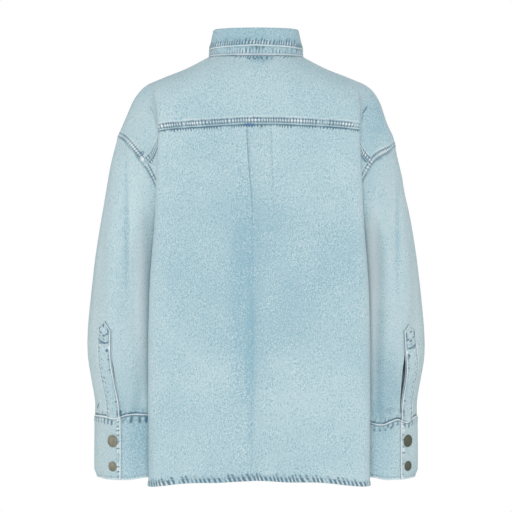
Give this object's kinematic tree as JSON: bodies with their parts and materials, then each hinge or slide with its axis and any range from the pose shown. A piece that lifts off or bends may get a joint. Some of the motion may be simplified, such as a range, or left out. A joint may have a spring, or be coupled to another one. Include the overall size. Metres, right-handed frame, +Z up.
{
  "type": "denim shirt",
  "caption": "Loose long-sleeved denim shirt in its worn, hollow shape, with a stand collar and leaf, dropped shoulders, a back yoke with a box pleat, sleeve plackets and press-stud cuffs.",
  "frame": {"origin": "middle of the neck opening, level with the neck seam at its back and sides", "axes": "+Z up, -Y towards the wearer's front, +X towards the wearer's left"},
  "size_m": [0.541, 0.2653, 0.7246],
  "materials": {
    "denim": "washed pale blue cotton twill with worn seams",
    "cap_metal": "satin antique brass"
  },
  "bodies": {
    "root": {"back_panel": "denim", "yoke": "denim", "front_left": "denim", "front_right": "denim", "front_band": "denim", "collar_stand": "denim", "collar_leaf": "denim", "sleeve_left": "denim", "sleeve_right": "denim", "sleeve_placket_left": "denim", "sleeve_placket_right": "denim", "cuff_left": "denim", "cuff_right": "denim", "collar_cap": "cap_metal", "front_cap_1": "cap_metal", "front_cap_2": "cap_metal", "front_cap_3": "cap_metal", "front_cap_4": "cap_metal", "front_cap_5": "cap_metal", "front_cap_6": "cap_metal", "cuff_cap_upper_left": "cap_metal", "cuff_cap_lower_left": "cap_metal", "cuff_cap_upper_right": "cap_metal", "cuff_cap_lower_right": "cap_metal"}
  },
  "joints": []
}
